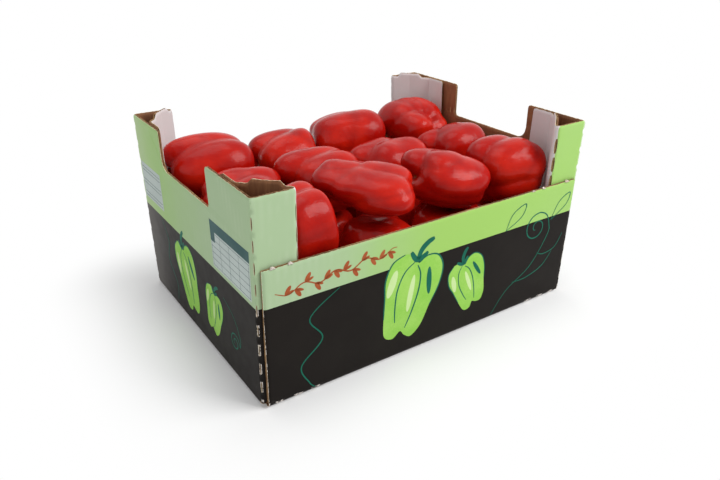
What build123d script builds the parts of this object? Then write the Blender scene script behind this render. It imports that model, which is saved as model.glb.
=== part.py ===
from build123d import *
from math import cos, pi, sin, sqrt
import os

# A folded corrugated board tray, filled with two layers of red bell peppers.
# Millimetres, +Z up. The origin is the middle of the tray's underside, and X runs along the long side walls.

# ---- the tray's outside
length = 400.0          # over the two end panels
width = 296.0           # over the two side walls, at the underside
side_height = 146.0     # top edge of the long side walls
notch_floor = 171.0     # lowest line of the end panels' top edge
post_height = 212.0     # top of the corner posts, which the next tray stands on
lean = 0.03             # how far the long sides lean out, for each unit of height

# ---- the board and its folds
board = 4.0             # corrugated board with a C flute
crease_inside = 1.5     # inside radius of the creases round the base
upright_inside = 0.5    # inside radius of the perforated upright creases
side_setback = 5.0      # a side wall ends this far short of the tray's corner
end_setback = 8.0       # an end panel's bottom crease ends this far short of it
post_clearance = 2.0    # under the free lower edges of the corner posts
free_corner = 3.0       # rounding of the board's free corners

# ---- the corner posts
post_depth = 39.5       # from the tab and from the flap to the slanting wall's far fold
post_bow = 2.0          # the slanting wall's own crease stands this far out of line
tab_length = 27.5       # of the tab that is glued inside the end panel

# ---- the stacking lugs, and the slots that take the lugs of the tray below
lug_root = 33.0
lug_tip = 25.0
lug_height = 4.5
lug_clearance = 1.0     # all round a lug in its slot

# ---- the hand notch in each end panel
notch_width = 126.0
notch_offset = 6.0      # to the left of the end panel's middle, seen from outside
notch_tight = 4.0       # radii of the two corners of the notch's floor
notch_easy = 14.0

# ---- the peppers
columns, rows = 4, 3
layer_depth = 92.0      # unit of the peppers' sizes and places up and down
fruit_gap = 0.3         # clearance of the peppers from the tray
valley = 0.16           # depth of the valleys between a pepper's lobes, as a share of its radius
points_per_lobe = 6

# A leaning wall, and all that is folded from it, is drawn in a plane square to its upright creases.
stretch = sqrt(1 + lean**2)             # a level distance, for each unit across that plane
leaning = Plane(origin=(0, 0, 0), x_dir=(1, 0, 0), z_dir=(0, lean, 1))
end_line = length / 2 - board / 2       # middle of the end panels' board
tab_line = length / 2 - 1.5 * board     # middle of the glued tabs' board
flap_line = width / 2 / stretch - 1.5 * board
crease_outside = crease_inside + board
upright_radius = upright_inside + board / 2
post_foot = board + post_clearance


def at_height(point, height):
    """Where a line along the upright creases, given in their plane, comes to this height."""
    return Vector(point.X, point.Y * stretch + lean * height, height)


def creased_channel(half_width, height, slope):
    """Section of a board folded up at both edges, with rounded creases. Its walls lean out by the slope."""
    inner = half_width - board * sqrt(1 + slope**2)
    outline = FilletPolyline(
        (-half_width - slope * height, height),
        (-half_width, 0),
        (half_width, 0),
        (half_width + slope * height, height),
        (inner + slope * height, height),
        (inner + slope * board, board),
        (-inner - slope * board, board),
        (-inner - slope * height, height),
        close=True,
        radius=[0, crease_outside, crease_outside, 0, 0, crease_inside, crease_inside, 0],
    )
    return make_face(outline)


def side_walls():
    """The base with its two long side walls, which are one strip of the blank."""
    section = Plane.YZ * creased_channel(width / 2, side_height, lean)
    strip = extrude(section, amount=length / 2 - side_setback, both=True)
    upper_corners = strip.edges().filter_by(Axis.Y).group_by(Axis.Z)[-1]
    return fillet(upper_corners, free_corner)


def end_creases():
    """The base with the creases that the end panels stand on."""
    section = Plane.XZ * creased_channel(length / 2, 2 * crease_outside, 0)
    return extrude(section, amount=width / 2 - end_setback, both=True)


def end_panel():
    """The flat of the end panel at +X, up to the bends of its posts, with the hand notch in its top edge."""
    bend = Vector(end_line, flap_line - upright_radius)
    low, high = at_height(bend, post_foot), at_height(bend, post_height)
    near = -notch_offset - notch_width / 2
    far = -notch_offset + notch_width / 2
    outline = FilletPolyline(
        (-low.Y, low.Z),
        (low.Y, low.Z),
        (high.Y, high.Z),
        (far, post_height),
        (far, notch_floor),
        (near, notch_floor),
        (near, post_height),
        (-high.Y, high.Z),
        close=True,
        radius=[0, 0, 0, free_corner, notch_tight, notch_easy, free_corner, 0],
    )
    panel = Plane.YZ.offset(length / 2 - board) * make_face(outline)
    return extrude(panel, amount=board)


# the post at +X +Y, in the plane square to its creases
flap_fold = Vector(tab_line - post_depth, flap_line)
tab_fold = Vector(tab_line, flap_line - post_depth)
slant_middle = (flap_fold + tab_fold) / 2
outwards = Vector(1, 1).normalized()


def lug(reach):
    """A stacking lug across the slanting wall's top edge, `reach` thick each way from the wall's middle."""
    face = Plane(at_height(slant_middle, post_height), x_dir=(1, -1, 0), z_dir=(-1, -1, 0))
    outline = Polyline(
        (-lug_root / 2, -board),
        (-lug_root / 2, 0),
        (-lug_tip / 2, lug_height),
        (lug_tip / 2, lug_height),
        (lug_root / 2, 0),
        (lug_root / 2, -board),
        close=True,
    )
    return extrude(face * make_face(outline), amount=reach, both=True)


def corner_post():
    """The post at +X +Y. The board goes round the corner, along the flap and back across the corner.
    It ends in a tab flat on the end panel, so it is drawn as two strips that meet in the slanting wall."""
    slant_crease = slant_middle + outwards * post_bow
    meeting = (flap_fold + slant_crease) / 2
    flap = FilletPolyline(
        (end_line, flap_line - 2 * upright_radius),
        (end_line, flap_line),
        flap_fold,
        meeting,
        radius=upright_radius,
    )
    tab = FilletPolyline(meeting, slant_crease, tab_fold, tab_fold - (0, tab_length), radius=upright_radius)
    beyond = post_height + lug_height + lean * width
    strips = [extrude(leaning * trace(path, line_width=board), amount=beyond) for path in (flap, tab)]
    level = Box(2 * length, 2 * width, post_height - post_foot, align=(Align.CENTER, Align.CENTER, Align.MIN))
    return (Part() + strips) & (Pos(Z=post_foot) * level + lug(2 * board))


def lug_slot():
    """The slot in the base at +X +Y for the lug of the tray below, which stands out by that tray's lean."""
    bow_at_the_lug = post_bow * (1 - lug_root / (2 * (flap_fold - tab_fold).length))
    place = at_height(slant_middle + outwards * bow_at_the_lug, post_height)
    hole = Box(lug_root + 2 * lug_clearance, board + 2 * lug_clearance, 4 * board)
    return Pos(place.X, place.Y, 0) * Rot(Z=-45) * hole


def at_each_corner(shape):
    """The shape of the corner at +X +Y, made for all four corners."""
    return [shape, mirror(shape, about=Plane.XZ), mirror(shape, about=Plane.YZ), Rot(Z=180) * shape]


def tray():
    """The whole folded and glued tray, which is one sheet of board."""
    panel = end_panel()
    sheet = side_walls() + end_creases() + panel + Rot(Z=180) * panel
    for post in at_each_corner(corner_post()):
        sheet += post
    for slot in at_each_corner(lug_slot()):
        sheet -= slot
    return sheet


# A pepper's rings from the blossom end to the stem: distance along it and radius, as shares of its size.
pepper_rings = [
    (-0.46, 0.10), (-0.50, 0.32), (-0.45, 0.64), (-0.30, 0.90), (-0.05, 1.00), (0.22, 0.99),
    (0.40, 0.86), (0.47, 0.58), (0.43, 0.26), (0.38, 0.12), (0.52, 0.09),
]


def lobed_outline(lobes):
    """Points round a ring of unit radius with valleys between its lobes."""
    steps = lobes * points_per_lobe
    turns = [2 * pi * step / steps for step in range(steps)]
    radii = [1 - valley * (1 - abs(cos(lobes * turn / 2))) ** 1.5 for turn in turns]
    return [(radius * cos(turn), radius * sin(turn)) for radius, turn in zip(radii, turns)]


def faceted(rings):
    """A closed solid with a flat facet between each two neighbours of one ring and the next."""
    facets = [
        [lower[step - 1], lower[step], upper[step], upper[step - 1]]
        for lower, upper in zip(rings, rings[1:])
        for step in range(len(lower))
    ]
    return Solid(Shell([Face(Wire.make_polygon(points)) for points in [rings[0], *facets, rings[-1]]]))


def walls_round_the_peppers():
    """The flat walls round the space for peppers: outward direction, and distance from the origin."""
    side = at_height(Vector(0, flap_line + board / 2), 0).Y
    slant = at_height(flap_fold, 0)
    ends = [(Vector(x, 0, 0), length / 2 - 2 * board) for x in (-1, 1)]
    sides = [(Vector(0, y, -lean), side) for y in (-1, 1)]
    posts = [(Vector(x, y, -lean), slant.X + slant.Y - board / 2 * sqrt(2)) for x in (-1, 1) for y in (-1, 1)]
    return ends + sides + posts


def pepper(place, size, turn, lobes):
    """One pepper. Its place and size are in cells, which divide up the space inside the tray."""
    cell = Vector((length - 2 * board) / columns, (width - 2 * board) / rows, layer_depth)
    middle = Vector(place[0] * cell.X, place[1] * cell.Y, board + place[2] * cell.Z)
    yaw, pitch, roll = turn
    turned = Plane(Rot(Z=yaw) * Rot(X=pitch) * Rot(Y=roll))
    rings = []
    for along, radius in pepper_rings:
        across, upright = radius * size[0] / 2, radius * size[2] / 2
        points = [(across * x, size[1] * along, upright * z) for x, z in lobed_outline(lobes)]
        points = [turned.from_local_coords(point) for point in points]
        rings.append([Vector(point.X * cell.X, point.Y * cell.Y, point.Z * cell.Z) for point in points])

    # where a wall is in its way, the pepper is as much slimmer
    slimmer = 1.0
    for outward, distance in walls_round_the_peppers():
        room = distance - fruit_gap - middle.dot(outward)
        for point in [point for ring in rings for point in ring]:
            level_reach = point.X * outward.X + point.Y * outward.Y
            if level_reach > 0:
                slimmer = min(slimmer, (room - point.Z * outward.Z) / level_reach)
    return faceted([[middle + Vector(p.X * slimmer, p.Y * slimmer, p.Z) for p in ring] for ring in rings])


def standing_pepper(x, y, across, height, yaw, lobes):
    """A pepper of the lower layer, which stands on its stem."""
    stem_end = pepper_rings[-1][0]
    middle = stem_end * height + fruit_gap / layer_depth
    return pepper((x, y, middle), (across, height, across), (yaw, -90, 0), lobes)


# The upper layer lies down: place from the middle of the base and size across, along and up, both in cells,
# then yaw, pitch and roll, and the number of lobes. Rows count from the front, columns from the left.
lying = {
    "front_1": ((-1.27, -1.02, 1.60), (0.79, 0.64, 0.93), (-105, 0, 0), 4),
    "front_2": ((-0.47, -0.88, 1.765), (0.82, 1.05, 0.55), (35, 8, 0), 3),
    "front_3": ((0.50, -0.97, 1.69), (0.90, 0.94, 0.66), (-100, 0, 0), 4),
    "front_4": ((1.41, -0.98, 1.59), (0.89, 0.83, 0.85), (-100, 0, 0), 4),
    "middle_1": ((-1.47, 0.01, 1.50), (0.83, 0.91, 0.80), (-105, 0, 0), 4),
    "middle_2": ((-0.50, 0.05, 1.53), (0.88, 0.95, 0.84), (-95, 0, 0), 4),
    "middle_3": ((0.49, 0.01, 1.51), (0.89, 0.96, 0.81), (-95, 0, 0), 4),
    "middle_4": ((1.42, -0.06, 1.54), (0.85, 0.84, 0.84), (-95, 0, 0), 4),
    "back_1": ((-1.43, 0.87, 1.64), (0.84, 1.00, 0.88), (-100, 0, 0), 4),
    "back_2": ((-0.48, 0.94, 1.54), (0.87, 0.82, 0.83), (-100, 0, 0), 3),
    "back_3": ((0.47, 0.95, 1.61), (0.92, 0.99, 0.90), (-100, 0, 0), 4),
    "back_4": ((1.48, 0.83, 1.61), (0.90, 0.89, 0.90), (-10, 0, 0), 4),
}
# The lower layer stands: place, size across and height in cells, then yaw and the number of lobes.
standing = {
    "front_1": (-1.43, -0.93, 0.90, 1.105, 20, 4),
    "front_2": (-0.40, -0.98, 0.94, 1.38, 65, 4),
    "front_3": (0.55, -0.98, 0.92, 1.325, 10, 3),
    "front_4": (1.43, -0.93, 0.90, 1.135, 50, 4),
    "middle_1": (-1.48, 0.00, 0.94, 1.07, 35, 4),
    "middle_2": (-0.50, 0.00, 0.94, 1.08, 0, 3),
    "middle_3": (0.50, 0.00, 0.94, 1.075, 75, 4),
    "middle_4": (1.48, 0.00, 0.94, 1.09, 15, 4),
    "back_1": (-1.43, 0.93, 0.90, 1.17, 60, 4),
    "back_2": (-0.50, 0.96, 0.94, 1.105, 25, 4),
    "back_3": (0.50, 0.96, 0.94, 1.13, 40, 3),
    "back_4": (1.43, 0.93, 0.90, 1.13, 5, 4),
}

os.makedirs("parts", exist_ok=True)
export_step(tray(), "parts/tray.step")
for name, values in lying.items():
    export_step(pepper(*values), f"parts/pepper_upper_{name}.step")
for name, values in standing.items():
    export_step(standing_pepper(*values), f"parts/pepper_lower_{name}.step")
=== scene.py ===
import bpy
import numpy as np
from mathutils import Matrix, Vector
from mathutils.geometry import delaunay_2d_cdt


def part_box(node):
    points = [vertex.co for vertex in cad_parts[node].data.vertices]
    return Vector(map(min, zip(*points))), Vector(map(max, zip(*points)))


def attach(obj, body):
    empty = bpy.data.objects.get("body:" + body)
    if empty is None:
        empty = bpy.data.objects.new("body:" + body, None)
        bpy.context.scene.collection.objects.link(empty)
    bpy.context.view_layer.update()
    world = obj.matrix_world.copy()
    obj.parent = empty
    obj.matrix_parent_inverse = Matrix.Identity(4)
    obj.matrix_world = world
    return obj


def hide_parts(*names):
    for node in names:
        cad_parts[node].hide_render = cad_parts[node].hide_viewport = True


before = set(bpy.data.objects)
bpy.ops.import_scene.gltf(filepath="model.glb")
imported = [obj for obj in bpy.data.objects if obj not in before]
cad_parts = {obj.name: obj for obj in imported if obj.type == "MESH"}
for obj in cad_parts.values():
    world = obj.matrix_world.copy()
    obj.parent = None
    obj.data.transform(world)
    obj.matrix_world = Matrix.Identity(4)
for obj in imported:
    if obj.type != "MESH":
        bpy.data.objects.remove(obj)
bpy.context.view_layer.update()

# ---- The view
# A standing person's look down onto the tray's near left corner. Colours show plainly, as they are
# written, with no film look.
camera = bpy.data.objects.new("camera", bpy.data.cameras.new("camera"))
bpy.context.scene.collection.objects.link(camera)
camera.location = (-0.3987, -0.6017, 0.4126)
camera.rotation_euler = np.radians((64.06, 0, -33.90))
camera.data.lens = 33.475
camera.data.clip_start, camera.data.clip_end = 0.01, 50
bpy.context.scene.camera = camera
bpy.context.scene.view_settings.view_transform = "Standard"


# ---- The board
# The tray is one sheet of corrugated board: an outer paper with a white printed face, a wavy paper glued
# inside it, and a brown inner paper. It is die-cut flat, creased, folded up and glued at its four posts.
millimetre = 0.001
board = 4.0
paper = 0.5             # outer and inner paper
wavy_paper = 0.3
flute = 7.6             # from one wave of the wavy paper to the next
wave_depth = 1.42       # each way from the middle of the board
post_top = 212.0
post_foot = 6.0
side_top = 146.0
lean = 0.03             # how far the long sides lean out, for each unit of height
end_line = 198.0        # middle of the end panels' board
wall_foot = 146.0       # middle of the side walls' board, level with the underside
tab_line = 194.0
flap_line = 141.93      # middle of the flaps' board, level with the underside
post_depth = 39.5
post_bow = 2.0
tab_length = 27.5
bend_radius = 2.5       # middle of the board, in the upright folds
crease_radius = 3.5     # the same, in the creases round the base
base_half = end_line - crease_radius


def route(corners, radius):
    """A line through corners, rounded at each. Its heading is level on a straight and turns evenly round a
    bend, and the place along it is the running sum of the heading's cosine and sine."""
    steps = np.diff(np.array(corners, float), axis=0)
    headings = np.unwrap(np.arctan2(steps[:, 1], steps[:, 0]))
    turns = np.abs(np.diff(headings))
    taken = np.concatenate([[0], radius * np.tan(turns / 2), [0]])
    straights = np.hypot(*steps.T) - taken[:-1] - taken[1:]
    runs = np.stack([straights[:-1], radius * turns], 1).ravel()
    knots = np.cumsum(np.concatenate([[0], runs, straights[-1:]]))
    along = np.linspace(0, knots[-1], 20001)
    heading = np.interp(along, knots, np.repeat(headings, 2))
    middle = (heading[:-1] + heading[1:]) / 2
    step = along[1]
    x = corners[0][0] + np.concatenate([[0], np.cumsum(np.cos(middle) * step)])
    y = corners[0][1] + np.concatenate([[0], np.cumsum(np.sin(middle) * step)])
    return {"knots": knots, "along": along, "x": x, "y": y, "heading": heading}


def on_route(line, along, depth):
    """The point at each distance along a route, and as deep to its right."""
    x, y, heading = (np.interp(along, line["along"], line[key]) for key in ("x", "y", "heading"))
    return x + depth * np.sin(heading), y - depth * np.cos(heading)


flap_fold = np.array((tab_line - post_depth, flap_line))
tab_fold = np.array((tab_line, flap_line - post_depth))
slant_crease = (flap_fold + tab_fold) / 2 + post_bow / np.sqrt(2)
round_the_post = route(
    [(end_line, 0), (end_line, flap_line), flap_fold, slant_crease, tab_fold, tab_fold - (0, tab_length)],
    bend_radius,
)
up_the_end = route(
    [(base_half - 0.001, board / 2), (end_line, board / 2), (end_line, post_top)],
    crease_radius,
)
wall_head = wall_foot + lean * side_top
across_the_base = route(
    [(-wall_head, side_top), (-wall_foot, board / 2), (wall_foot, board / 2), (wall_head, side_top)],
    crease_radius,
)
corner_bend = round_the_post["knots"][1:3]
flap_bend = round_the_post["knots"][3:5]
slant_middle = round_the_post["knots"][5:7].mean()
post_end = round_the_post["knots"][-1]
low_crease = up_the_end["knots"][2]

lug_root, lug_tip, lug_height = 33.0, 25.0, 4.5         # of the locking lug on each post
notch_left, notch_right, notch_floor = -69.0, 57.0, 171.0       # of the hand notch
easy_corner, tight_corner, free_corner, wall_corner = 14.0, 4.0, 3.0, 1.0       # rounding of cut corners


def fillet(distance, radius):
    """How far a quarter circle still is from its end, at a distance from where it began."""
    left = np.clip(radius - distance, 0, radius)
    return radius - np.sqrt(radius**2 - left**2)


def end_top(along, side):
    """Height of an end panel's top edge and its posts': the hand notch at side 0, a post at side -1 or 1."""
    if side == 0:
        left, right = along - notch_left, notch_right - along
        return notch_floor + fillet(left, easy_corner) + fillet(right, tight_corner)
    from_notch = notch_left - along if side < 0 else along - notch_right
    from_lug = np.abs(np.abs(along) - slant_middle)
    lug = lug_height * np.clip((lug_root / 2 - from_lug) / ((lug_root - lug_tip) / 2), 0, 1)
    return post_top - fillet(from_notch, free_corner) - fillet(post_end - np.abs(along), free_corner) + lug


end_runs = ((-1, -post_end, notch_left), (0, notch_left, notch_right), (1, notch_right, post_end))
ragged = np.random.default_rng(4)
edge_wear = 0.5         # the most that a cut edge falls short


def end_outline():
    """The cut edge of an end panel with its two posts, flat: distance along the fold line, and height."""
    foot = corner_bend[0]
    points = [(-foot, 0), (foot, 0), (foot, post_foot), (post_end, post_foot)]
    for side, low, high in reversed(end_runs):
        count = int((high - low) / 1.9)
        ease = low + (high - low) * (1 - np.cos(np.linspace(0, np.pi, count))) / 2
        even = np.linspace(low, high, count)
        along = (0.5 * ease + 0.5 * even)[::-1]
        top = end_top(along, side) - edge_wear * ragged.random(count)
        points += list(zip(along, top))
    return np.array(points + [(-post_end, post_foot), (-foot, post_foot)])


def slit(middle, length, half_width, upright=True):
    """A cut that opened when the board was folded: its sides run nearly straight between blunt points."""
    turn = np.linspace(0, np.pi, 9)[1:-1]
    run = -length / 2 * np.cos(turn)
    near = np.stack([-half_width * np.sin(turn) ** 0.5, run], 1)
    ends = np.array([(0, length / 2)]), np.array([(0, -length / 2)])
    loop = np.concatenate([near, ends[0], -near, ends[1]])
    return np.array(middle) + (loop if upright else loop[:, ::-1])


cut_length, cut_pitch, first_cut = 12.0, 20.7, 24.0
flap_cut_length = 17.0
corner_gap, flap_gap = 0.32, 0.85       # half of how far the cuts open
cut_heights = first_cut + cut_pitch * np.arange(9)


def end_cuts():
    """The cuts of the perforated upright folds: at each corner, and where a flap turns back across it."""
    corner, flap = corner_bend.mean(), flap_bend[0] + 2.0
    cuts = []
    for side in (-1, 1):
        cuts += [slit((side * corner, height), cut_length, corner_gap) for height in cut_heights]
        cuts += [slit((side * flap, height), flap_cut_length, flap_gap) for height in cut_heights]
    return cuts


def mark_grid(run, rise):
    """Points at each place along with each height, so that the flat sheet can bend there."""
    return np.stack(np.meshgrid(run, rise), -1).reshape(-1, 2)


def cut_sheet(outline, holes, marks):
    """A flat paper as triangles. The outline and holes are kept as edges and the marks as points, and a
    triangle stays where a line from its middle crosses the edges an odd number of times."""
    loops = [outline, *holes]
    starts = np.cumsum([0] + [len(loop) for loop in loops])
    edges = [
        (start + i, start + (i + 1) % len(loop))
        for start, loop in zip(starts.tolist(), loops) for i in range(len(loop))
    ]
    everything = np.concatenate([*loops, marks])
    points, _, faces = delaunay_2d_cdt([Vector(p) for p in everything], edges, [], 1, 1e-4)[:3]
    points, faces = np.array(points)[:, :2], np.array(faces)
    first, second = everything[np.array(edges).T]
    x, y = points[faces].mean(1).T[..., None]
    spans = (first[:, 1] > y) != (second[:, 1] > y)
    rise = np.where(first[:, 1] == second[:, 1], 1, second[:, 1] - first[:, 1])
    crossed = spans & (x < first[:, 0] + (y - first[:, 1]) * (second[:, 0] - first[:, 0]) / rise)
    return points, faces[crossed.sum(1) % 2 == 1]


def bulge(along, height):
    """How far the outer paper stands out at a perforated fold: a smooth step up to most of a sharp corner at
    each cut, and none between the cuts, where the fold stays round."""
    from_cut = np.abs((height - first_cut + cut_pitch / 2) % cut_pitch - cut_pitch / 2)
    step = np.clip((0.46 * cut_pitch - from_cut) / (0.16 * cut_pitch), 0, 1)
    at_cut = step * step * (3 - 2 * step)
    bent = np.clip((np.abs(along) - corner_bend[0]) / np.ptp(corner_bend), 0, 1) * np.pi / 2
    corner = board * (1 / np.maximum(np.cos(bent), np.sin(bent)) - 1)
    across = np.clip((np.abs(along) - flap_bend[0]) / np.ptp(flap_bend), 0, 1)
    return at_cut * (0.7 * corner + 0.3 * np.sin(np.pi * across) ** 2)


def crushed(from_edge, share, reach):
    """The share of its depth that the board loses near a cut edge, where the die crushed it. It falls off as
    a bell curve of this reach."""
    return share * np.exp(-((np.clip(from_edge, 0, None) / reach) ** 2))


still_half = 80.0       # half of an end panel's middle, which the leaning side walls leave where it is


def fold_end(flat, depth, swollen=False):
    """Folds a flat end panel: up from the base at its crease, then round the posts. The leaning side walls
    carry the posts out with them. The board is crushed along its top edge."""
    along, height = flat.T
    if swollen:
        depth = depth + bulge(along, height)
    top = np.where(along > notch_right, end_top(along, 1), end_top(along, 0))
    top = np.where(along < notch_left, end_top(along, -1), top)
    depth = depth * (1 - crushed(top - height, 0.45, 1.6))
    x, y = on_route(round_the_post, np.abs(along), depth)
    low_x, low_z = on_route(up_the_end, height, depth)
    y = np.where(height < low_crease, np.abs(along), y)
    x = np.where(height < low_crease, low_x, x)
    z = np.where(height < low_crease, low_z, height - low_crease + board / 2 + crease_radius)
    carried = np.clip((np.abs(along) - still_half) / (corner_bend[0] - still_half), 0, 1)
    return np.stack([x, np.sign(along) * (y + carried * lean * z), z], 1) * millimetre


def fold_base(flat, depth):
    """Folds the base strip: its long side walls come up from the base at their creases. The walls' board is
    crushed along its top edges and ends."""
    wall = (flat[:, 1] < front_crease[0] - 2) | (flat[:, 1] > back_crease[1] + 2)
    from_top = np.minimum(flat[:, 1], strip_length - flat[:, 1])
    from_end = wall_end - np.abs(flat[:, 0])
    lost = np.maximum(crushed(from_top, 0.38, 1.6), crushed(from_end, 0.7, 1.8))
    depth = depth * (1 - lost * wall)
    y, z = on_route(across_the_base, flat[:, 1], depth)
    return np.stack([flat[:, 0], y, z], 1) * millimetre


wall_end = 195.0        # half of the side walls' length
strip_length = across_the_base["knots"][-1]
front_crease = across_the_base["knots"][1:3]
back_crease = across_the_base["knots"][3:5]
nicks = (-184.7, -167.7, 127.7, 143.8, 180.7)           # where the torn nicks stand
nick_width, nick_height = 2.2, 2.0
slot_length, slot_width = 35.0, 6.0
slot_x, slot_y = 175.25, 129.6          # where the lugs of a like tray below come up
crease_cut, crease_pitch, last_crease_cut = 9.0, 19.0, 183.0


def base_outline():
    """The cut edge of the base with its two side walls, flat. Small torn nicks stand up from the walls' top
    edges, where the sheet was held in its die."""
    top_run = np.linspace(-wall_end + wall_corner, wall_end - wall_corner, 300)
    torn = sum(np.exp(-(((top_run - nick) / nick_width) ** 4)) for nick in nicks)
    rise = nick_height * torn * (0.4 + 0.6 * ragged.random(300)) - edge_wear * ragged.random(300)
    turn = np.linspace(0, np.pi / 2, 5)
    round_x = wall_end - wall_corner * (1 - np.sin(turn))
    round_s = wall_corner * (1 - np.cos(turn))
    front = [(-wall_end, front_crease[1])] + [(x, s) for x, s in zip(-round_x[::-1], round_s[::-1])]
    front += [(x, -r) for x, r in zip(top_run, rise)] + [(x, s) for x, s in zip(round_x, round_s)]
    front += [(wall_end, front_crease[1]), (base_half, front_crease[1])]
    front.insert(0, (-base_half, front_crease[1]))
    return np.array(front + [(-x, strip_length - s) for x, s in front])


def lug_slots():
    """The four slots across the base's corners that take the lugs of the tray below."""
    across = np.array([(-1, -1), (1, -1), (1, 1), (-1, 1)]) * (slot_length / 2, slot_width / 2)
    slots = []
    for x, y in ((1, 1), (-1, 1), (-1, -1), (1, -1)):
        slant = np.array([(1, -x * y), (x * y, 1)]) / np.sqrt(2)
        slots.append(across @ slant + (x * slot_x, strip_length / 2 + y * slot_y))
    return slots


def crease_cuts():
    """Short cuts at the ends of the creases under the side walls."""
    places = [side * (last_crease_cut - crease_pitch * i) for side in (-1, 1) for i in range(3)]
    return [
        slit((x, crease.mean()), crease_cut, 0.5, upright=False)
        for x in places for crease in (front_crease, back_crease)
    ]


def grid_faces(rows, columns):
    """The four-sided faces of a grid of points, given row by row."""
    corner = (np.arange(rows - 1)[:, None] * columns + np.arange(columns - 1)).reshape(-1, 1)
    return corner + np.array((0, 1, columns + 1, columns))


def strip_between(lower, upper):
    """A strip of faces between two lines with as many points."""
    return np.concatenate([lower, upper]), grid_faces(2, len(lower))


def wavy_sheet(near, far, along, fold):
    """The wavy paper between two lines on the flat board. Its depth is a sine of the distance along them."""
    depth = wave_depth * np.sin(2 * np.pi * along / flute)
    return strip_between(fold(near, depth), fold(far, depth))


def half_turn(points):
    """The same points on the opposite side of the tray."""
    return points * (-1, -1, 1)


def joined(sheets):
    """Several meshes as one list of points and one of faces."""
    firsts = np.cumsum([0] + [len(points) for points, _ in sheets[:-1]])
    faces = [face for first, (_, found) in zip(firsts, sheets) for face in (found + first).tolist()]
    return np.concatenate([points for points, _ in sheets]), faces


def made(name, points, faces, finishes, smooth=False):
    """A new piece at the origin, from its points in metres and its faces."""
    mesh = bpy.data.meshes.new(name)
    mesh.from_pydata(points.tolist(), [], faces if isinstance(faces, list) else faces.tolist())
    for material in finishes:
        mesh.materials.append(material)
    mesh.polygons.foreach_set("use_smooth", np.full(len(mesh.polygons), smooth))
    mesh.update()
    piece = bpy.data.objects.new(name, mesh)
    bpy.context.scene.collection.objects.link(piece)
    return piece


def thickened(piece, thickness, offset):
    """Gives a sheet its thickness. Its back wears the next finish, and its cut edge the one after that."""
    solid = piece.modifiers.new("thickness", "SOLIDIFY")
    solid.thickness, solid.offset = thickness * millimetre, offset
    solid.material_offset, solid.material_offset_rim = 1, 2
    return piece


class Socket:
    """One value in a finish's node tree. Arithmetic adds Math nodes, and node() adds any other node."""

    def __init__(self, tree, output=None):
        self.tree, self.output = tree, output

    def node(self, kind, inputs, output=0, **settings):
        """One output of a new node, with its inputs linked or set."""
        made_node = self.tree.nodes.new("ShaderNode" + kind)
        for key, value in settings.items():
            setattr(made_node, key, value)
        for key, value in inputs.items():
            if isinstance(value, Socket):
                self.tree.links.new(value.output, made_node.inputs[key])
            else:
                made_node.inputs[key].default_value = value
        return Socket(self.tree, made_node.outputs[output])

    def math(self, operation, *values):
        return self.node("Math", dict(enumerate(values)), operation=operation)

    def __add__(self, other):
        return self.math("ADD", self, other)

    def __sub__(self, other):
        return self.math("SUBTRACT", self, other)

    def __rsub__(self, other):
        return self.math("SUBTRACT", other, self)

    def __mul__(self, other):
        return self.math("MULTIPLY", self, other)

    def __gt__(self, other):
        return self.math("GREATER_THAN", self, other)

    def __lt__(self, other):
        return self.math("LESS_THAN", self, other)

    def __abs__(self):
        return self.math("ABSOLUTE", self)

    def __or__(self, other):
        return self.math("MAXIMUM", self, other)

    def __and__(self, other):
        return self.math("MINIMUM", self, other)

    __radd__, __rmul__ = __add__, __mul__

    def rise(self, low, high):
        """0 below low, 1 above high, and smooth between."""
        return self.node("MapRange", {0: self, 1: low, 2: high}, interpolation_type="SMOOTHSTEP")

    def mixed(self, first, second):
        """The first colour where this is 0, and the second where it is 1."""
        return self.node("Mix", {0: self, 6: first, 7: second}, output=2, data_type="RGBA")


def colour(red, green, blue):
    """A colour from its 0 to 255 screen values, as the light it stands for."""
    screen = np.array((red, green, blue)) / 255
    light = np.where(screen <= 0.04045, screen / 12.92, ((screen + 0.055) / 1.055) ** 2.4)
    return (*light.tolist(), 1.0)


def finish(name, **constants):
    """A new material: its name, its shader and a Socket to build on. Constants go on the shader itself."""
    material = bpy.data.materials.new(name)
    material.use_nodes = True
    shader = material.node_tree.nodes["Principled BSDF"]
    for key, value in constants.items():
        shader.inputs[key.replace("_", " ").title().replace("Ior", "IOR")].default_value = value
    return material, shader, Socket(material.node_tree)


def feed(shader, key, value):
    """Links a value to one of a shader's own sockets."""
    value.tree.links.new(value.output, shader.inputs[key])


def place_of(start, scale=1000.0):
    """X, Y and Z on the piece, in millimetres."""
    coordinates = start.node("TexCoord", {}, output="Object")
    scaled = start.node("VectorMath", {0: coordinates, 1: (scale,) * 3}, operation="MULTIPLY")
    parts = [start.node("SeparateXYZ", {0: scaled}, output=axis) for axis in range(3)]
    return scaled, parts


def noise(start, place, size, detail=2.0, stretch=(1, 1, 1)):
    """Cloudy noise from 0 to 1, whose patches measure about this size in millimetres."""
    stretched = start.node(
        "VectorMath", {0: place, 1: tuple(s / size for s in stretch)}, operation="MULTIPLY"
    )
    return start.node("TexNoise", {"Vector": stretched, "Scale": 1.0, "Detail": detail}, output="Fac")


band_line = 108.0       # lower edge of the pale green band
sharp_corner = 341.78   # x and y together, past which the outer paper stands out of a corner's round
lime, pale_green = colour(160, 203, 104), colour(170, 194, 154)
near_black, coated_white = colour(24, 20, 18), colour(222, 218, 219)
tray_half = (200.0, 150.0)              # half of its length and width
kraft_brown, dark_kraft = colour(150, 102, 65), colour(116, 73, 45)


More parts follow.
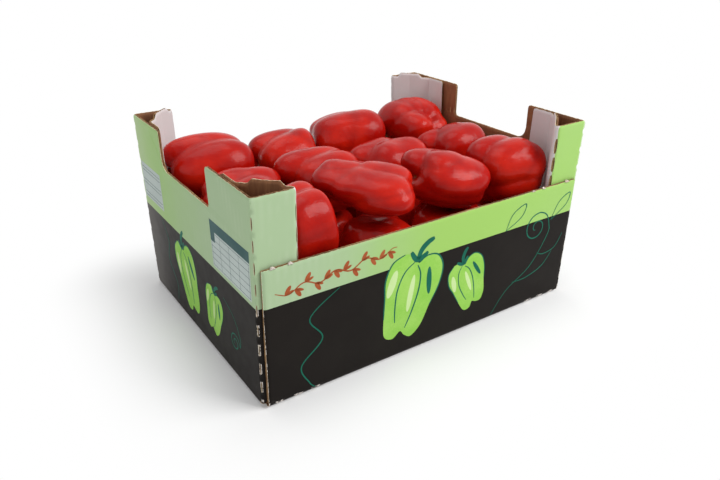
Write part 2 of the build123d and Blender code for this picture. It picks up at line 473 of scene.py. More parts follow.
def printed_paper():
    """The outer paper's face: white clay coat, printed with a green band over a near-black ground."""
    material, shader, start = finish("printed_paper", specular_ior_level=0.07)
    place, (x, y, z) = place_of(start)
    at_end = abs(x) > end_line - 1.0
    outside = at_end | (abs(y) - z * lean > flap_line + 0.87)
    in_band = z > band_line

    def from_corners(way, squash=1.0):
        """How far a place is from the nearer of two opposite corners, as the root of the sum of squares."""
        found = []
        for side in (-1, 1):
            run, across = x - side * tray_half[0], (y - side * way * tray_half[1]) * squash
            found.append(start.math("SQRT", run * run + across * across))
        return found[0] & found[1]

    # the green fades to a paler one towards two opposite corners
    mottle = noise(start, place, 60.0, 3.0)
    faded = from_corners(1, 0.55) + mottle * 40.0 - 20.0
    green = faded.rise(40.0, 205.0).mixed(pale_green, lime)
    # the ends' print turns lighter grey towards the other two corners: partly rubbed ink, partly painted
    # sheen that stands for a glossy reflection at a grazing angle
    rubbing_and_sheen = (from_corners(-1) + mottle * 30.0 - 15.0).rise(110.0, 0.0)
    rubbing_and_sheen = rubbing_and_sheen * rubbing_and_sheen * at_end
    dark = noise(start, place, 35.0, 4.0).mixed(near_black, colour(34, 30, 27))
    ground = rubbing_and_sheen.mixed(dark, colour(96, 92, 89))
    # painted sheen: the green band pales towards those corners too
    band = (rubbing_and_sheen * 0.45).mixed(green, colour(204, 214, 188))

    # washed-out stripes where the wavy paper shows through
    stripes = start.math("SINE", (x + y) * (2 * np.pi / flute)) * 0.5 + 0.5
    patchy = noise(start, place, 26.0).rise(0.4, 0.75) * (1.0 - faded.rise(30.0, 120.0))
    striped = (stripes * patchy * in_band * 0.14).mixed(in_band.mixed(ground, band), colour(210, 220, 200))
    bare = noise(start, place, 80.0).mixed(coated_white, colour(212, 206, 204))
    face = (outside & (z > 1.0)).mixed(bare, striped)

    # white paper shows where the coat tore at the cuts of the folds, and on the side walls' cut edges
    lowest_cut = first_cut - low_crease + board / 2 + crease_radius
    from_upright = start.math("PINGPONG", z - lowest_cut, cut_pitch / 2)
    at_corner = abs(x) + abs(y) - z * lean > sharp_corner
    torn_upright = at_corner & (from_upright < cut_length / 2) & (z < band_line)
    from_crease = start.math("PINGPONG", abs(x) - last_crease_cut, crease_pitch / 2)
    at_crease = (abs(x) > 140.0) & (abs(y) > 144.0) & (z > 1.8) & (z < 4.4)
    torn_crease = at_crease & (from_crease < crease_cut / 2 + 0.3)
    on_wall_face = abs(y) - z * lean > wall_foot + 0.3
    wall_cut = on_wall_face & ((abs(x) > wall_end - 0.4) | (z > side_top + 0.1))
    tear = noise(start, place, 2.6, 3.0)
    torn = (torn_upright | torn_crease) * tear.rise(0.42, 0.50) | wall_cut * tear.rise(0.45, 0.65)
    feed(shader, "Base Color", torn.mixed(face, colour(218, 210, 203)))

    fibre = noise(start, place, 1.2, 4.0)
    feed(shader, "Roughness", noise(start, place, 12.0, 3.0) * 0.16 + 0.40)
    height = stripes * in_band * 0.4 + fibre * 0.5
    bump = start.node("Bump", {"Strength": 0.12, "Distance": 0.0003, "Height": height})
    feed(shader, "Normal", bump)
    return material


def kraft_paper(name, light, dark, streaks):
    """Uncoated paper: long fibres lie along the sheet, with darker flecks between them."""
    material, shader, start = finish(name, roughness=0.8)
    place, _ = place_of(start)
    fibres = noise(start, place, 2.2, 5.0, streaks)
    clouds = noise(start, place, 45.0, 3.0)
    tone = (fibres * 0.6 + clouds * 0.6).rise(0.35, 0.85)
    feed(shader, "Base Color", tone.mixed(dark, light))
    bump = start.node("Bump", {"Strength": 0.25, "Distance": 0.0002, "Height": fibres})
    feed(shader, "Normal", bump)
    return material


outer_face = printed_paper()
inner_face = kraft_paper("brown_inner_paper", kraft_brown, dark_kraft, (1, 1, 0.15))
paper_core = kraft_paper("brown_wavy_paper", colour(182, 142, 94), colour(88, 56, 30), (1.6, 1.6, 1.6))
paper_edge = kraft_paper("cut_paper_edge", colour(236, 222, 196), colour(196, 168, 130), (1, 1, 1))


def liner(name, depth, finishes):
    """One of the two flat papers of the whole tray: cut as three flat sheets, then folded. Only the outer
    one is cut along its folds, and stands out there."""
    outer = depth > 0
    knots = round_the_post["knots"]
    bends = ((*corner_bend, 9), (*flap_bend, 13), (*knots[5:7], 3), (*knots[7:9], 5))
    heights = np.append(np.arange(post_foot, post_top, cut_pitch / 14), post_top - 0.4)
    marks = [
        mark_grid(np.linspace(side * low, side * high, count), heights)
        for side in (-1, 1) for low, high, count in bends
    ]
    foot_run = np.linspace(-corner_bend[0], corner_bend[0], 5)
    marks.append(mark_grid(foot_run, np.linspace(0, low_crease, 8)))
    for side, low, high in end_runs:
        run = np.linspace(low + 1, high - 1, int((high - low) / 2.5))
        top = end_top(run, side)
        marks += [np.stack([run, top - inset], 1) for inset in (1.6, 2.4, 3.4, 4.6)]
    cuts = end_cuts() if outer else []
    end_flat, end_faces = cut_sheet(end_outline(), cuts, np.concatenate(marks))
    end = fold_end(end_flat, depth, swollen=outer)

    run = np.linspace(-wall_end, wall_end, 45)
    marks = [mark_grid(run, np.linspace(*crease, 8)) for crease in (front_crease, back_crease)]
    close_run = np.linspace(-wall_end + 2, wall_end - 2, 160)
    wall_rise = np.linspace(4, front_crease[0] - 3, 60)
    for inset in (0.9, 1.8, 2.8, 4.2):
        for edge in (inset, strip_length - inset):
            marks.append(np.stack([close_run, np.full(160, edge)], 1))
        for edge in (-wall_end + inset, wall_end - inset):
            for rise in (wall_rise, strip_length - wall_rise):
                marks.append(np.stack([np.full(60, edge), rise], 1))
    cuts = lug_slots() + (crease_cuts() if outer else [])
    base_flat, base_faces = cut_sheet(base_outline(), cuts, np.concatenate(marks))
    base = fold_base(base_flat, depth)
    if not outer:
        end_faces, base_faces = end_faces[:, ::-1], base_faces[:, ::-1]
    sheets = [(end, end_faces), (half_turn(end), end_faces), (base, base_faces[:, ::-1])]
    return thickened(made(name, *joined(sheets), finishes), paper, -1)


outer_paper = liner("tray_outer_paper", board / 2, [outer_face, inner_face, paper_edge])
inner_paper = liner("tray_inner_paper", -board / 2, [inner_face, paper_core, paper_core])

wave = []
for side, low, high in end_runs:
    along = np.linspace(low + 0.3, high - 0.3, int((high - low) / flute * 12))
    foot = np.where(np.abs(along) < corner_bend[0], 1.0, post_foot + 0.3)
    lines = [np.stack([along, height], 1) for height in (foot, end_top(along, side) - 0.4)]
    points, faces = wavy_sheet(*lines, along, fold_end)
    wave += [(points, faces), (half_turn(points), faces)]
along = np.linspace(0.3, strip_length - 0.3, 930)
lines = [np.stack([np.full_like(along, x), along], 1) for x in (-wall_end + 2.5, wall_end - 2.5)]
wave.append(wavy_sheet(*lines, along, fold_base))
fluting = thickened(made("tray_fluting", *joined(wave), [paper_core] * 3, smooth=True), wavy_paper, 0)

for piece in (outer_paper, inner_paper, fluting):
    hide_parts("tray")
    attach(piece, "root")


# ---- The print
# Inks laid on the outer paper with rubber plates, the same on opposite walls: lime peppers with teal
# contours, teal tendrils and a russet vine. Each end panel also has two blank fields for packing labels.
def on_wall(flat, lift):
    """Places a flat drawing, across and up in millimetres, on the front wall."""
    down = (side_top - flat[:, 1]) * np.sqrt(1 + lean**2)
    return fold_base(np.stack([flat[:, 0], down], 1), board / 2 + lift)


def on_end(flat, lift):
    """Places a flat drawing on the left end panel, seen from outside."""
    height = flat[:, 1] + low_crease - board / 2 - crease_radius
    return half_turn(fold_end(np.stack([flat[:, 0], height], 1), board / 2 + lift))


def smooth_line(points, closed=False):
    """A smooth line through points. Each run is a cubic that leaves along its neighbours' line."""
    points = np.array(points, float)
    if closed:
        before, start, end, after = (np.roll(points, shift, 0) for shift in (1, 0, -1, -2))
    else:
        padded = np.concatenate([points[:1], points, points[-1:]])
        before, start, end, after = padded[:-3], padded[1:-2], padded[2:-1], padded[3:]
    t = np.linspace(0, 1, 12, endpoint=False)[None, :, None]
    before, start, end, after = (p[:, None] for p in (before, start, end, after))
    line = (2 * start + (end - before) * t + (2 * before - 5 * start + 4 * end - after) * t**2
            + (3 * start - before - 3 * end + after) * t**3) / 2
    line = line.reshape(-1, 2)
    return line if closed else np.concatenate([line, points[-1:]])


def stroke(points, width):
    """A pen stroke along the smooth line through points. It swells from its ends as the root of a sine."""
    line = smooth_line(points)
    ahead = np.gradient(line, axis=0)
    across = np.stack([-ahead[:, 1], ahead[:, 0]], 1) / np.hypot(*ahead.T)[:, None]
    swell = 0.4 + 0.6 * np.sin(np.pi * np.linspace(0, 1, len(line))) ** 0.5
    half = across * width / 2 * swell[:, None]
    points, faces = strip_between(line - half, line + half)
    return points, faces.tolist()


def filled(loop):
    """A flat patch inside a loop that runs anticlockwise."""
    return np.array(loop, float), [list(range(len(loop)))]


def block(left, right, low, high):
    """A flat rectangle."""
    return filled([(left, low), (right, low), (right, high), (left, high)])


def leaf(start, end, fullness):
    """A pointed leaf between two points: its half width is a sine, and it is as wide as its length times its
    fullness."""
    start, end = np.array(start, float), np.array(end, float)
    t = np.linspace(0, np.pi, 13)[:, None]
    side = np.array([start[1] - end[1], end[0] - start[0]]) * fullness / 2
    middle = start + (end - start) * (1 - np.cos(t)) / 2
    right, left = middle - side * np.sin(t), middle + side * np.sin(t)
    return filled(np.concatenate([right[:-1], left[:0:-1]]))


def moved(shapes, middle, size, tilt):
    """Shapes drawn at unit size, scaled, tilted and moved into place."""
    turn = np.radians(tilt)
    matrix = np.array([(np.cos(turn), np.sin(turn)), (-np.sin(turn), np.cos(turn))]) * size
    return [(points @ matrix + middle, faces) for points, faces in shapes]


# the drawn pepper, at unit size
pepper_shape = [
    (0.0, 0.74), (0.16, 0.88), (0.40, 0.88), (0.58, 0.66), (0.60, 0.30), (0.50, -0.10), (0.42, -0.48),
    (0.26, -0.70), (0.09, -0.66), (-0.03, -0.58), (-0.16, -0.72), (-0.36, -0.66), (-0.47, -0.32),
    (-0.56, 0.08), (-0.64, 0.42), (-0.58, 0.74), (-0.36, 0.90), (-0.14, 0.86),
]
pepper_body = [filled(smooth_line(pepper_shape[::-1], closed=True))]
pepper_lines = [
    stroke(pepper_shape[5::-1], 0.030),
    stroke(pepper_shape[12:17], 0.030),
    stroke([(-0.02, 0.70), (0.10, 0.52), (0.15, 0.20), (0.12, -0.20), (0.06, -0.52)], 0.034),
    stroke([(-0.10, 0.76), (-0.27, 0.56), (-0.33, 0.22), (-0.27, -0.16), (-0.20, -0.40)], 0.030),
    leaf((0.26, 0.66), (0.42, 0.12), 0.20),
    stroke([(-0.24, 0.94), (-0.06, 0.80), (0.14, 0.94)], 0.10),
    stroke([(-0.05, 0.80), (-0.02, 0.98), (0.08, 1.12), (0.20, 1.20)], 0.11),
]
pepper_shine = [leaf((-0.46, 0.62), (-0.50, 0.10), 0.30), leaf((-0.04, 0.52), (0.02, -0.20), 0.16)]

# each printed pepper: its middle, size and tilt
wall_peppers = ((np.array((-36, 63)), 58, -14), (np.array((46, 56)), 40, 18))
end_peppers = ((np.array((-24, 56)), 48, 12), (np.array((42, 50)), 34, -16))
# a tendril ends in a spiral, whose radius falls evenly with its turn
curl_turn = np.linspace(0, 3.4 * np.pi, 16)
curl = np.stack([np.cos(curl_turn), np.sin(curl_turn)], 1) * np.linspace(20, 3, 16)[:, None]
wall_tendrils = [
    stroke([(-118, 107), (-150, 84), (-137, 58), (-160, 34), (-152, 12), (-146, 4.5)], 1.5),
    stroke([(84, 4.5), (104, 30), (138, 52), (160, 86), *(curl + (140, 100))], 1.5),
    stroke([(112, 38), (134, 38), (158, 46), (172, 62)], 1.2),
    stroke([(147, 66), (158, 62), (176, 66), (186, 82)], 1.2),
    stroke([(92, 108), (100, 126), (118, 134), (114, 120), (92, 108)], 1.2),
    stroke([(162, 104), (172, 124), (188, 132), (184, 118), (162, 104)], 1.2),
]
end_tendrils = [
    stroke([(-92, 104), (-78, 84), (-84, 58), (-66, 34), (-70, 12)], 1.4),
    stroke([(72, 84), (92, 74), (104, 56), *(curl * 0.55 + (92, 44))], 1.4),
]

along = np.linspace(-184, -54, 27)
vine = np.stack([along, 123 + 0.07 * (along + 120) + 3.2 * np.sin(along / 5.2)], 1)
russet_vine = [stroke(vine, 1.5)]
# a large leaf and a small one grow at every second point, on alternate sides
for i in range(2, 25, 2):
    base, side = vine[i], 1 if i % 4 else -1
    russet_vine.append(leaf(base, base + (5.5, 8.5 * side), 0.42))
    russet_vine.append(leaf(base + (1, 0), base + (8.5, 3.0 * side), 0.36))

# two blank label fields, and the ruled lines and blocks in them
fields = [block(-138.5, -80.5, 118, 160), block(56, 136, 112, 161)]
rows, columns = np.linspace(114, 148, 6), np.linspace(58, 134, 5)
field_lines = [block(56, 136, 150, 161), block(56, 66, 139, 150)]
field_lines += [block(57 if row < 139 else 66, 135, row - 0.25, row + 0.25) for row in rows]
field_lines += [
    block(column - 0.25, column + 0.25, 114, 148 if column > 66 else 139) for column in columns
]
field_lines += [block(-136, -83, row - 0.3, row + 0.3) for row in (121, 125, 136, 140, 151, 155)]


def ink(name, tone, other_tone):
    """A printing ink, a little uneven, that keeps the paper's dull sheen."""
    material, shader, start = finish(name, specular_ior_level=0.07)
    place, _ = place_of(start)
    uneven = (noise(start, place, 30.0, 3.0) * 0.7 + noise(start, place, 1.6, 3.0) * 0.3).rise(0.3, 0.75)
    feed(shader, "Base Color", uneven.mixed(tone, other_tone))
    feed(shader, "Roughness", noise(start, place, 12.0, 3.0) * 0.16 + 0.42)
    return material


def printed(name, layers, finish_of):
    """A piece of ink: drawings placed on the walls, each repeated on the opposite wall."""
    sheets = []
    for place_on, lift, shapes in layers:
        for points, faces in shapes:
            placed = place_on(points, lift)
            sheets += [(placed, faces), (half_turn(placed), faces)]
    firsts = np.cumsum([0] + [len(points) for points, _ in sheets[:-1]]).tolist()
    faces = [[first + i for i in face] for first, (_, found) in zip(firsts, sheets) for face in found]
    piece = made(name, np.concatenate([points for points, _ in sheets]), faces, [finish_of])
    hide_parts("tray")
    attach(piece, "root")


def peppers_on_walls(shapes, lift):
    """The peppers' shapes at each of their places on the front wall and the left end."""
    on_the_wall = [(on_wall, lift, moved(shapes, *place)) for place in wall_peppers]
    return on_the_wall + [(on_end, lift, moved(shapes, *place)) for place in end_peppers]


lime_ink = ink("lime_ink", colour(140, 200, 78), colour(166, 212, 104))
pale_ink = ink("pale_ink", colour(196, 224, 150), colour(206, 230, 168))
teal_ink = ink("teal_ink", colour(22, 96, 78), colour(34, 112, 92))
russet_ink = ink("russet_ink", colour(158, 76, 44), colour(176, 96, 58))
field_ink = ink("label_field", colour(186, 198, 194), colour(198, 208, 204))
line_ink = ink("label_line", colour(52, 86, 86), colour(74, 104, 104))
tendrils = [(on_wall, 0.14, wall_tendrils), (on_end, 0.14, end_tendrils)]

printed("lime_ink", peppers_on_walls(pepper_body, 0.05), lime_ink)
printed("pale_ink", peppers_on_walls(pepper_shine, 0.08), pale_ink)
printed("teal_ink", peppers_on_walls(pepper_lines, 0.11) + tendrils, teal_ink)
printed("russet_ink", [(on_wall, 0.06, russet_vine)], russet_ink)
printed("label_fields", [(on_end, 0.06, fields)], field_ink)
printed("label_lines", [(on_end, 0.10, field_lines)], line_ink)


# ---- The torn tufts
# Where the sheet was held in its die, small tufts of white paper stand up from the side walls' top edges.
# They are the outer paper's own fibres, which tore when the flat tray was pushed out of the sheet.
def tuft(middle, seed):
    """A crumpled flake of torn paper that curls over the edge it stands on."""
    rng = np.random.default_rng(seed)
    across, up = np.meshgrid(np.linspace(-1, 1, 9), np.linspace(0, 1, 6))
    width, height = rng.uniform(2.2, 3.4), rng.uniform(1.8, 2.8)
    ragged_top = height * (1 - 0.5 * across**2) * (0.7 + 0.3 * rng.random(9))
    x = middle + across * width * (1 - 0.3 * up) + 0.3 * rng.normal(size=up.shape)
    z = side_top - 0.6 + up * ragged_top
    y = -(wall_head + 1.9) + 1.9 * up**2 * rng.uniform(0.3, 1.4) + 0.35 * rng.normal(size=up.shape)
    return np.stack([x, y, z], -1).reshape(-1, 3) * millimetre, grid_faces(6, 9)


tufts = [tuft(nick, i) for i, nick in enumerate(nicks)]
tufts += [(half_turn(points), faces) for points, faces in tufts]
torn_paper = kraft_paper("torn_white_paper", colour(226, 214, 206), colour(176, 152, 136), (1, 1, 1))
tuft_piece = thickened(made("torn_tufts", *joined(tufts), [torn_paper] * 3, smooth=True), 0.25, 0)
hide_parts("tray")
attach(tuft_piece, "root")


# ---- The peppers
# Ripe red bell peppers, packed in two layers. Each is a hollow fruit of three or four lobes that swell apart
# at the blossom end and round the sunken stalk, under a thin waxy skin.
def pepper_skin():
    """Ripe red skin: deep red and warmer in patches, with painted shade darker down the valleys, under a
    thin natural wax.
    """
    material, shader, start = finish("pepper_skin", specular_ior_level=0.16)
    place, _ = place_of(start)
    crease = start.node("Attribute", {}, output="Fac", attribute_name="crease_shade")
    scar = start.node("Attribute", {}, output="Fac", attribute_name="scar")
    patches = noise(start, place, 38.0, 3.0).rise(0.35, 0.7)
    red = patches.mixed(colour(168, 15, 8), colour(196, 30, 13))
    # painted shade: the red darkens down the valleys between the lobes
    red_with_crease_shade = (crease * 0.25).mixed(red, colour(120, 4, 6))
    streaked = (noise(start, place, 6.0, 4.0).rise(0.5, 0.9) * 0.3).mixed(red_with_crease_shade, colour(146, 8, 8))
    feed(shader, "Base Color", scar.mixed(streaked, colour(112, 84, 40)))
    feed(shader, "Roughness", noise(start, place, 9.0, 4.0) * 0.20 + 0.12)
    dimples = noise(start, place, 2.6, 2.0) + noise(start, place, 15.0, 3.0) * 7.0
    bump = start.node("Bump", {"Strength": 0.17, "Distance": 0.0007, "Height": dimples})
    feed(shader, "Normal", bump)
    return material


def stalk_green():
    """A cut stalk and its cap: fresh green, paler in patches."""
    material, shader, start = finish("stalk_green", roughness=0.5)
    place, _ = place_of(start)
    tone = noise(start, place, 5.0, 4.0)
    feed(shader, "Base Color", tone.rise(0.3, 0.7).mixed(colour(64, 98, 30), colour(118, 146, 60)))
    bump = start.node("Bump", {"Strength": 0.3, "Distance": 0.0004, "Height": tone})
    feed(shader, "Normal", bump)
    return material


skin, green = pepper_skin(), stalk_green()

twist = 0.2             # of the lobes, in radians for each half length
softness = 26.0         # a higher one makes sharper valleys between the lobes
# width of the painted shade along each valley between lobes
crease_shade_width = 0.05
dent_depth = 0.012
stalk_dip, blossom_dip = np.array([(0.20, 0.36), (0.07, 0.20)])[..., None, None]    # depth and width
core = (0, 0, 0.62, 0.74, 0)            # a round lobe in the middle, which the others grow out of


def lobe_fields(points, lobes, blunt):
    """How far out of each lobe a point is: 1 on its surface. A lobe is round across, blunter along, fuller
    near the stalk, and twists a little round the pepper."""
    turn = twist * points[..., 1]
    x = points[..., 0] * np.cos(turn) + points[..., 2] * np.sin(turn)
    z = points[..., 2] * np.cos(turn) - points[..., 0] * np.sin(turn)
    fuller = 1 + 0.07 * points[..., 1]
    fields = []
    for angle, reach, thick, half, shift in lobes:
        lean_to = np.radians(angle)
        across = np.hypot(x - reach * np.cos(lean_to), z - reach * np.sin(lean_to)) / (thick * fuller)
        along = np.abs(points[..., 1] - shift) / half
        fields.append((across**blunt + along**blunt) ** (1 / blunt))
    return np.stack(fields)


def skin_at(direction, lobes, blunt, seed):
    """The skin's point in each direction from a pepper's middle, in half sizes, and how near it lies to a
    valley, which weights the painted shade there. The skin is where the smooth minimum of the lobes' fields
    comes to 1, found by halving, with slow dents over it and a sunken place at each end."""
    low, high = np.full(direction.shape[:-1], 0.3), np.full(direction.shape[:-1], 1.8)
    for _ in range(26):
        middle = (low + high) / 2
        fields = lobe_fields(direction * middle[..., None], lobes, blunt)
        least = -np.log(np.exp(-softness * fields).sum(0)) / softness
        low, high = np.where(least < 1, middle, low), np.where(least < 1, high, middle)
    ordered = np.sort(lobe_fields(direction * low[..., None], lobes[:-1], blunt), 0)
    # painted shade weight: how close a point lies to the valley between its two nearest lobes
    crease_shade = np.exp(-(((ordered[1] - ordered[0]) / crease_shade_width) ** 2))
    rng = np.random.default_rng(seed)
    waves, phases = rng.normal(0, 3.0, (8, 3)), rng.random(8) * 2 * np.pi
    dents = dent_depth * np.sin(direction @ waves.T + phases).sum(-1)
    from_axis = np.hypot(direction[..., 0], direction[..., 2])
    dip_depth, dip_width = np.where(direction[..., 1] > 0, stalk_dip, blossom_dip)
    sunken = dip_depth * np.exp(-((from_axis / dip_width) ** 2))
    return direction * (low * (1 + dents) * (1 - sunken))[..., None], crease_shade


def directions(polar, turn):
    """Unit directions: polar is the angle from the blossom end, and turn goes round the pepper."""
    polar, turn = np.broadcast_arrays(polar, turn)
    return np.stack([np.sin(polar) * np.cos(turn), -np.cos(polar), np.sin(polar) * np.sin(turn)], -1)


def closed_faces(rings, steps):
    """Faces of a grid of rings that closes round, with a fan at each pole. They point outwards."""
    ring = 1 + np.arange(rings - 2)[:, None] * steps
    step = np.arange(steps)[None, :]
    after = (step + 1) % steps
    quads = np.stack([ring + step, ring + steps + step, ring + steps + after, ring + after], -1)
    step, after, last = step[0], after[0], 1 + (rings - 2) * steps
    start_fan = np.stack([0 * step, 1 + step, 1 + after], 1)
    end_fan = np.stack([0 * step + last + steps, last + after, last + step], 1)
    return start_fan.tolist() + quads.reshape(-1, 4).tolist() + end_fan.tolist()


def turned(points, turn):
    """Rolls, pitches, then yaws points, in degrees."""
    yaw, pitch, roll = np.radians(turn)
    matrix = Matrix.Rotation(yaw, 3, "Z") @ Matrix.Rotation(pitch, 3, "X") @ Matrix.Rotation(roll, 3, "Y")
    return points @ np.array(matrix).T


cap_steps = 40
cap_lift = np.array([-0.6, 0.5, 0.8, 1.0, 1.2, 1.6])[:, None]
stalk_rise = np.array([1.5, 3.0, 5.5, 7.5, 8.2, 8.1, 7.8])[:, None]
stalk_width = np.array([4.6, 3.6, 3.3, 3.7, 3.9, 3.2, 1.6])[:, None]


def pepper(node, size, turn, lobes, blunt, rings=72, steps=120):
    """A pepper in place of its CAD node, with its cap and cut stalk."""
    low, high = (np.array(corner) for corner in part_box(node))
    half, middle = np.array(size) / 2, (low + high) / 2
    seed = sum(map(ord, node))
    lobes = [*lobes, core]
    polar = np.linspace(0, np.pi, rings + 1)[:, None]
    round_turn = np.linspace(0, 2 * np.pi, steps, endpoint=False)[None, :]
    grid, crease_shade = skin_at(directions(polar, round_turn), lobes, blunt, seed)
    places = np.concatenate([grid[0, :1], grid[1:-1].reshape(-1, 3), grid[-1, :1]])
    depth = np.concatenate([crease_shade[0, :1], crease_shade[1:-1].ravel(), crease_shade[-1, :1]])
    scar = np.exp(-((np.hypot(places[:, 0], places[:, 2]) / 0.04) ** 2)) * (places[:, 1] < 0)
    points = turned(places * half * millimetre, turn) + middle
    faces = closed_faces(rings, steps)
    piece = made(node.replace("pepper_", "skin_"), points, faces, [skin], smooth=True)
    # the painted crease shade and the stalk scar go onto the skin as point attributes
    for name, values in (("crease_shade", depth), ("scar", scar)):
        piece.data.attributes.new(name, "FLOAT", "POINT").data.foreach_set("value", values)

    # the cap lies in the sunken end, with a scalloped rim pressed into the skin, and the ribbed stalk stands
    # on it, leaning over by the square of its height
    round_turn = np.linspace(0, 2 * np.pi, cap_steps, endpoint=False)[None, :]
    spread = np.linspace(1, 0.3, 6)[:, None] * (0.27 + 0.035 * np.cos(5 * round_turn + seed))
    cap, _ = skin_at(directions(np.pi - spread, round_turn), lobes, blunt, seed)
    cap = cap * half + np.stack([0 * cap_lift, cap_lift, 0 * cap_lift], -1)
    foot = cap[-1].mean(0)
    width = stalk_width * (1 + 0.07 * np.cos(5 * round_turn))
    across = width * np.cos(round_turn) + 0.012 * stalk_rise**2
    stalk = foot + np.stack([across, stalk_rise + 0 * width, width * np.sin(round_turn)], -1)
    rows = np.concatenate([cap, stalk]).reshape(-1, 3)
    rows = np.concatenate([(foot - (0, 1.0, 0))[None], rows, stalk[-1].mean(0)[None]])
    points = turned(rows * millimetre, turn) + middle
    faces = closed_faces(len(cap) + len(stalk) + 1, cap_steps)
    top = made(node.replace("pepper_", "stalk_"), points, faces, [green], smooth=True)
    for part in (piece, top):
        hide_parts(node)
        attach(part, "root")


# each pepper: its name, size, turn and how blunt its ends are, then its lobes; each lobe: its angle round
# the pepper, how far out it sits, how thick and long it is, and its shift to the stalk, all in half sizes
upper_layer = (
    ("back_1", (80.6, 98.0, 81.0), (-100, 0, 0), 2.5, [
        (24, 0.28, 0.70, 0.97, 0.03), (124, 0.44, 0.56, 0.94, -0.06), (215, 0.40, 0.58, 0.95, 0.0),
        (300, 0.40, 0.58, 0.95, 0.02),
    ]),
    ("back_2", (83.5, 80.4, 76.4), (-100, 0, 0), 2.5, [
        (38, 0.30, 0.69, 0.90, 0.06), (126, 0.44, 0.55, 0.90, -0.10), (66, 0.40, 0.55, 0.45, 0.48),
        (225, 0.40, 0.58, 0.95, 0.0), (310, 0.40, 0.58, 0.92, 0.0),
    ]),
    ("back_3", (88.3, 97.0, 82.8), (-100, 0, 0), 2.5, [
        (62, 0.30, 0.70, 0.78, -0.22), (50, 0.26, 0.73, 0.78, 0.18), (150, 0.40, 0.58, 0.94, 0.0),
        (240, 0.40, 0.58, 0.92, 0.0), (325, 0.40, 0.58, 0.94, 0.0),
    ]),
    ("back_4", (88.2, 85.4, 82.8), (-10, 0, 0), 2.5, [
        (150, 0.32, 0.59, 0.88, -0.22), (134, 0.50, 0.58, 0.70, 0.26), (92, 0.38, 0.56, 0.68, 0.26),
        (48, 0.48, 0.56, 0.74, 0.20), (2, 0.48, 0.58, 0.84, 0.08), (250, 0.42, 0.54, 0.80, 0.05),
        (300, 0.40, 0.54, 0.82, 0.05),
    ]),
    ("middle_1", (79.7, 89.2, 73.6), (-105, 0, 0), 2.5, [
        (30, 0.30, 0.68, 0.98, 0.06), (118, 0.42, 0.57, 0.98, 0.12), (212, 0.40, 0.58, 0.95, 0.0),
        (300, 0.40, 0.58, 0.95, 0.0),
    ]),
    ("middle_2", (84.5, 93.1, 77.3), (-95, 0, 0), 2.5, [
        (38, 0.36, 0.65, 0.84, 0.14), (124, 0.44, 0.57, 0.94, -0.06), (205, 0.40, 0.58, 0.94, 0.0),
        (300, 0.40, 0.58, 0.92, 0.0),
    ]),
    ("middle_3", (85.4, 94.1, 74.5), (-95, 0, 0), 2.5, [
        (54, 0.28, 0.71, 0.90, 0.08), (134, 0.44, 0.54, 0.78, -0.20), (215, 0.40, 0.58, 0.94, 0.0),
        (320, 0.40, 0.56, 0.90, -0.05),
    ]),
    ("middle_4", (81.6, 82.3, 77.3), (-95, 0, 0), 2.5, [
        (56, 0.30, 0.69, 0.86, 0.12), (102, 0.42, 0.54, 0.60, 0.02), (150, 0.46, 0.53, 0.80, -0.20),
        (345, 0.38, 0.57, 0.90, 0.0), (225, 0.40, 0.58, 0.94, 0.0), (290, 0.40, 0.58, 0.92, 0.0),
    ]),
    ("front_1", (76.0, 57.0, 80.0), (-90, 0, 0), 4.2, [
        (42, 0.26, 0.70, 0.80, -0.14), (134, 0.50, 0.52, 0.80, -0.06), (330, 0.34, 0.66, 0.84, -0.18),
        (225, 0.42, 0.56, 0.95, -0.10), (280, 0.36, 0.60, 0.84, -0.14),
    ]),
    ("front_2", (80.0, 101.5, 50.6), (35, 3, 0), 2.9, [
        (148, 0.26, 0.72, 0.80, -0.26), (124, 0.34, 0.54, 0.90, 0.08), (84, 0.36, 0.52, 0.46, 0.44),
        (64, 0.44, 0.56, 0.56, -0.36), (196, 0.36, 0.64, 0.62, -0.54), (20, 0.38, 0.56, 0.85, 0.10),
        (290, 0.40, 0.56, 0.85, 0.0),
    ]),
    ("front_3", (86.4, 92.0, 60.7), (-100, -12, 0), 2.5, [
        (26, 0.28, 0.74, 0.86, 0.08), (140, 0.44, 0.58, 0.84, -0.18), (74, 0.42, 0.58, 0.56, -0.14),
        (60, 0.20, 0.60, 0.60, 0.28), (210, 0.40, 0.58, 0.90, 0.0), (312, 0.34, 0.66, 0.88, 0.02),
    ]),
    ("front_4", (85.4, 81.3, 78.2), (-100, 0, 0), 2.8, [
        (54, 0.32, 0.68, 0.84, -0.06), (330, 0.44, 0.50, 0.82, 0.05), (126, 0.50, 0.52, 0.80, -0.26),
        (30, 0.34, 0.58, 0.60, 0.38), (210, 0.40, 0.58, 0.94, 0.0), (270, 0.40, 0.56, 0.90, 0.0),
    ]),
)
for name, size, turn, blunt, lobes in upper_layer:
    pepper(f"pepper_upper_{name}", size, turn, lobes, blunt)


def even_lobes(count, seed):
    """Lobes spread round a pepper that is mostly hidden, none quite like the next."""
    rng = np.random.default_rng(seed)
    angles = 360 / count * np.arange(count) + rng.uniform(-7, 7, count)
    uneven = rng.uniform(0.94, 1.06, (3, count))
    shifts = rng.uniform(-0.04, 0.04, count)
    return list(zip(angles, 0.32 * uneven[0], 0.68 * uneven[1], 0.96 * uneven[2], shifts))


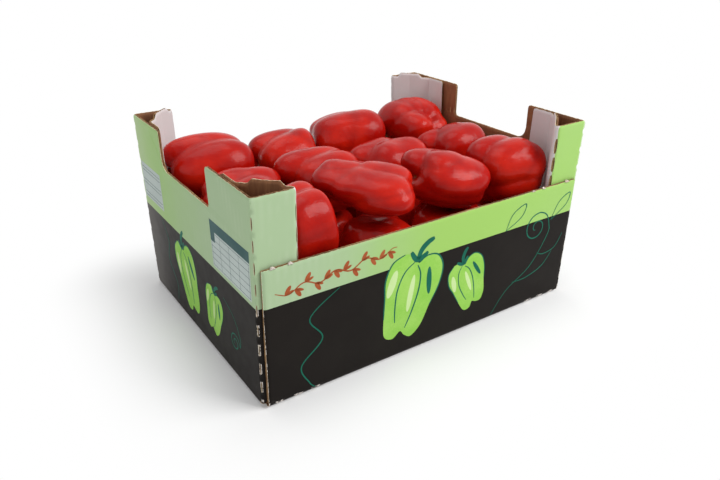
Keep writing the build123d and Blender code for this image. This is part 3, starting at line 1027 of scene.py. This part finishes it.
# the lower layer stands with its stalks down: name, width, height, turn, lean and number of lobes
lower_layer = (
    ("front_1", 87, 104, 20, 0, 4), ("front_2", 92, 136, 60, 4, 3), ("front_3", 92, 126, 10, 6, 4),
    ("front_4", 84, 106, 50, 0, 4), ("middle_1", 86, 100, 35, 0, 4), ("middle_2", 88, 101, 0, 0, 3),
    ("middle_3", 90, 101, 75, 0, 4), ("middle_4", 90, 102, 15, 0, 4), ("back_1", 84, 109, 60, 0, 4),
    ("back_2", 90, 103, 25, 0, 4), ("back_3", 88, 105, 40, 0, 3), ("back_4", 86, 105, 5, 0, 4),
)
for i, (name, across, height, yaw, tilt, count) in enumerate(lower_layer):
    size, turn = (across, height, across), (yaw, tilt - 90, 0)
    pepper(f"pepper_lower_{name}", size, turn, even_lobes(count, i), blunt=5.0, rings=48, steps=80)


# ---- The floor and the light
# A pale matt floor that fades into a white surround. A large soft lamp stands to the right, a softer one
# hangs above, and a weak one fills in from the left.
def background_rays(start):
    """1 for the rays that show the background: straight to the camera, in a reflection, or through glass."""
    kinds = ("Is Camera Ray", "Is Glossy Ray", "Is Transmission Ray")
    rays = [start.node("LightPath", {}, output=kind) for kind in kinds]
    return rays[0] | rays[1] | rays[2]


def floor_finish():
    """Matt and pale near the tray. Where its distance from the tray's rectangle grows, it turns white."""
    material, shader, start = finish("pale_floor", roughness=0.9, specular_ior_level=0.0)
    shader.inputs["Base Color"].default_value = (0.92, 0.92, 0.92, 1)
    _, (x, y, _) = place_of(start, 1.0)
    past_x, past_y = (abs(x) - 0.2) | 0.0, (abs(y) - 0.15) | 0.0
    away = start.math("SQRT", past_x * past_x + past_y * past_y).rise(-0.03, 0.14)
    matt = Socket(start.tree, shader.outputs[0])
    white = start.node("Emission", {"Color": (1, 1, 1, 1), "Strength": 1.0})
    both = start.node("MixShader", {0: away * background_rays(start), 1: matt, 2: white})
    start.tree.links.new(both.output, start.tree.nodes["Material Output"].inputs["Surface"])
    return material


floor_run = np.linspace(-6, 6, 13)
floor_grid = np.stack(np.meshgrid(floor_run, floor_run, [-0.0004]), -1).reshape(-1, 3)
floor = made("floor", floor_grid, grid_faces(13, 13), [floor_finish()])

world = bpy.data.worlds.new("surround")
bpy.context.scene.world = world
world.use_nodes = True
sky = world.node_tree.nodes["Background"]
sky.inputs["Color"].default_value = (1, 1, 1, 1)
feed(sky, "Strength", background_rays(Socket(world.node_tree)) * 0.62 + 0.38)


def lamp(name, place, size, power):
    """A square soft lamp that faces the tray."""
    light = bpy.data.lights.new(name, "AREA")
    light.size, light.energy = size, power
    holder = bpy.data.objects.new(name, light)
    holder.location = place
    holder.rotation_euler = (Vector((0, 0, 0.1)) - Vector(place)).to_track_quat("-Z", "Y").to_euler()
    bpy.context.scene.collection.objects.link(holder)


lamp("key_lamp", (0.9, -1.0, 1.4), 1.15, 28.5)
lamp("top_lamp", (-0.1, 0.5, 1.8), 1.2, 8.0)
lamp("side_lamp", (-1.5, -0.3, 0.9), 1.4, 4.0)
